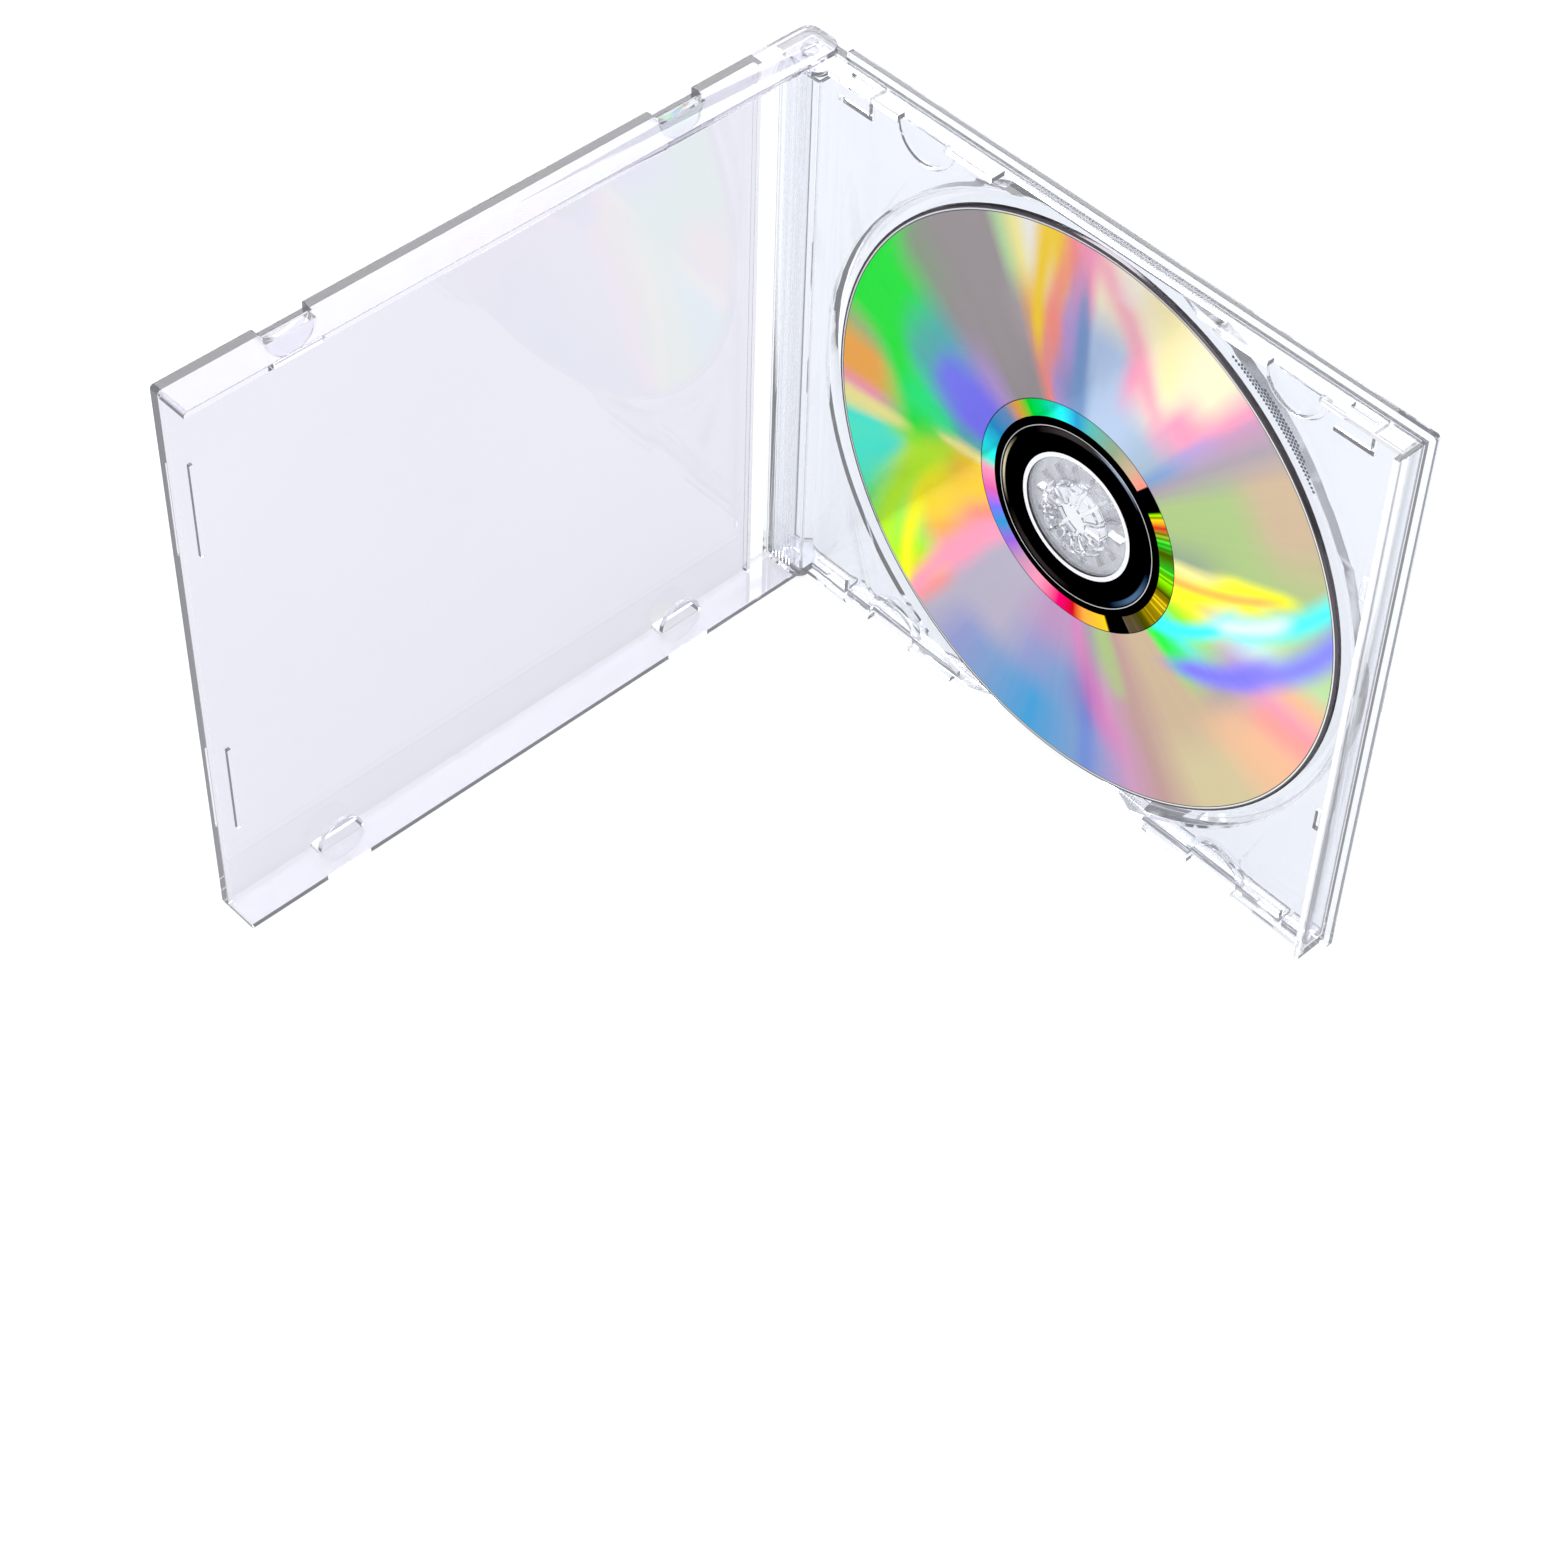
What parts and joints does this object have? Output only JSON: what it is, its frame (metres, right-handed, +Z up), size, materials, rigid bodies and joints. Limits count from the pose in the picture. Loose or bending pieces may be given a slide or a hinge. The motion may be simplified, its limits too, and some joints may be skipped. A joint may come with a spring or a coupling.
{
  "type": "cd jewel case",
  "caption": "Clear plastic case for a compact disc, standing open: hinged lid with booklet tabs, base with snap-in media tray and toothed hub, and the disc.",
  "frame": {"origin": "centre of the open case's footprint, on the surface that it stands on", "axes": "+Z up along the hinge; +X along the base from its spine to its opening edge; -Y is the way that the base's tray and disc face, and the way that the lid stands out from the hinge at rest"},
  "size_m": [0.1424, 0.1424, 0.125],
  "materials": {
    "clear_lid": "clear polished polystyrene",
    "clear_base": "clear polished polystyrene",
    "clear_tray": "clear polished polystyrene",
    "disc": "mirror-bright data side under clear plastic, with rainbow reflections"
  },
  "bodies": {
    "case_base": {"base": "clear_base", "media_tray": "clear_tray"},
    "cover": {"lid": "clear_lid"},
    "disc": {"disc": "disc"}
  },
  "joints": [
    {"name": "lid_hinge", "type": "hinge", "parent": "case_base", "child": "cover", "pos_m": [-0.06613, 0.06613, 0.0625], "axis": [0, 0, -1], "range_deg": [-90, 90]},
    {"name": "disc_spin", "type": "hinge", "parent": "case_base", "child": "disc", "pos_m": [0.00438, 0.06695, 0.0625], "axis": [0, -1, 0], "continuous": true}
  ]
}
